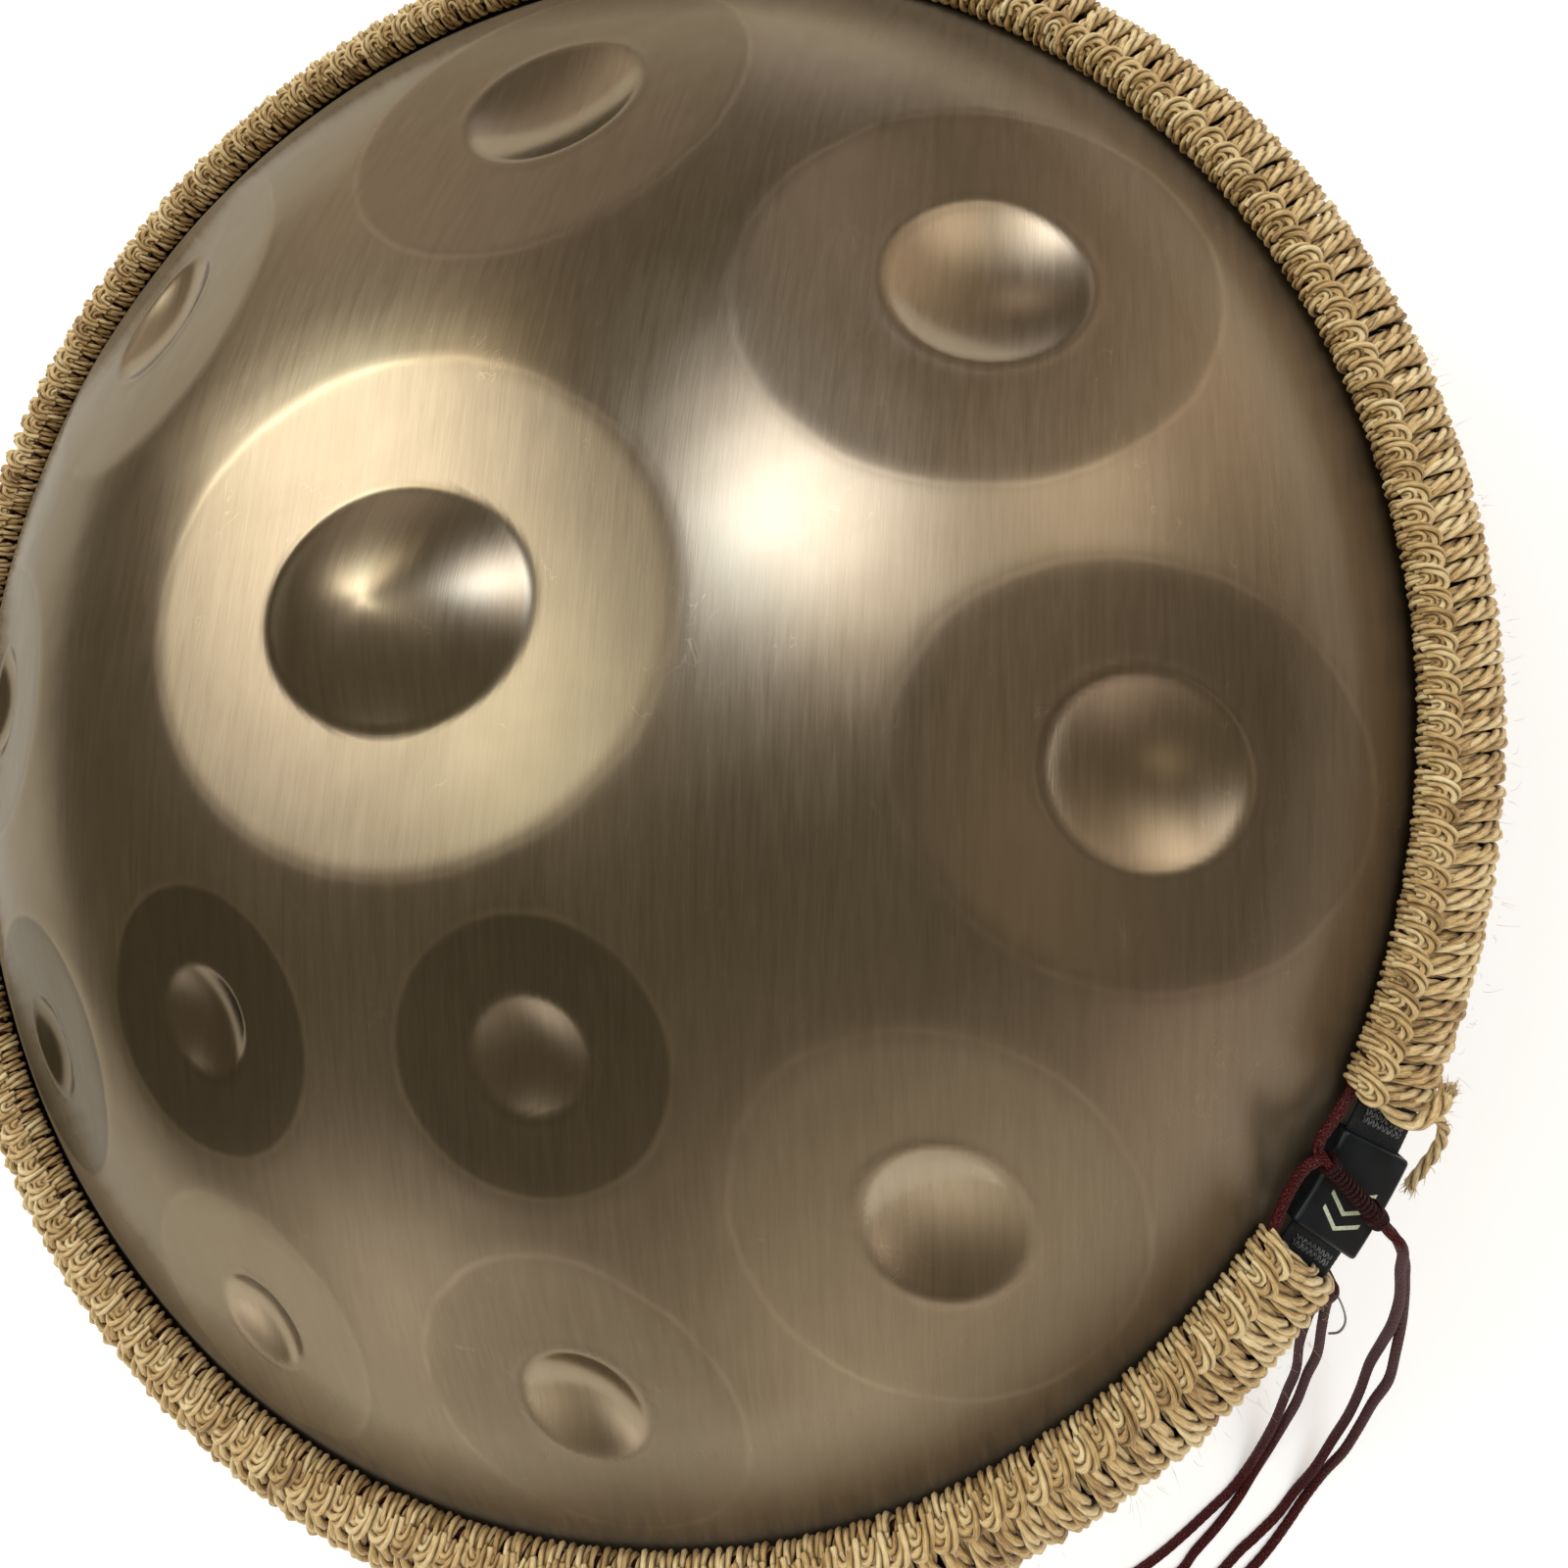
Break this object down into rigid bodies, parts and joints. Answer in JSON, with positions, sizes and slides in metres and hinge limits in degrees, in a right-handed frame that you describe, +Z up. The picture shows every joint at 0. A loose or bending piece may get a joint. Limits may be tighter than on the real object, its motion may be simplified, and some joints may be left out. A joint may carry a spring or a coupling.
{
  "type": "handpan",
  "caption": "Steel handpan: domed shell with tuned note fields and a raised centre note, plain bowl with a port, jute rim cover, rim strap with sleeve, and two drawstrings.",
  "frame": {"origin": "on the pan's centre axis, on the floor that the port lip stands on", "axes": "+Z up along the pan's axis towards the raised centre note; -Y towards the gap in the jute cover where the sleeve and the drawstrings are"},
  "size_m": [0.5539, 0.6148, 0.2258],
  "materials": {
    "steel_top": "heat treated, fine brushed, bronze brown",
    "steel_bottom": "heat treated, fine brushed, bronze brown",
    "bond": "cured adhesive",
    "webbing": "woven black webbing",
    "stitching": "black bar tack stitches",
    "sleeve_rubber": "satin black rubber with a plain printed mark",
    "jute": "natural jute twine",
    "cord": "braided maroon cord",
    "thread": "loose grey thread"
  },
  "bodies": {
    "pan": {"upper_shell": "steel_top", "lower_shell": "steel_bottom", "seam_bond": "bond", "rim_strap": "webbing", "strap_tack_left": "stitching", "strap_tack_right": "stitching", "jute_cover": "jute", "jute_tail_long": "jute", "jute_tail_short": "jute", "drawstring_upper": "cord", "drawstring_lower": "cord", "upper_cord_left": "cord", "upper_cord_right": "cord", "lower_cord_left": "cord", "lower_cord_right": "cord", "end_knot_upper": "cord", "end_knot_lower": "cord", "thread_loop": "thread"},
    "sleeve": {"strap_sleeve": "sleeve_rubber"},
    "upper_slider": {"slider_knot_upper": "cord"},
    "lower_slider": {"slider_knot_lower": "cord"}
  },
  "joints": [
    {"name": "sleeve_shift", "type": "hinge", "parent": "pan", "child": "sleeve", "pos_m": [0, 0, 0.119], "axis": [0, 0, 1], "range_deg": [-1.1, 1.9]},
    {"name": "upper_slider_slide", "type": "slide", "parent": "pan", "child": "upper_slider", "axis": [-0.2992, -0.9191, -0.2565], "range_m": [0, 0.006]},
    {"name": "lower_slider_slide", "type": "slide", "parent": "pan", "child": "lower_slider", "axis": [-0.6173, -0.776, -0.1293], "range_m": [0, 0.006]}
  ]
}
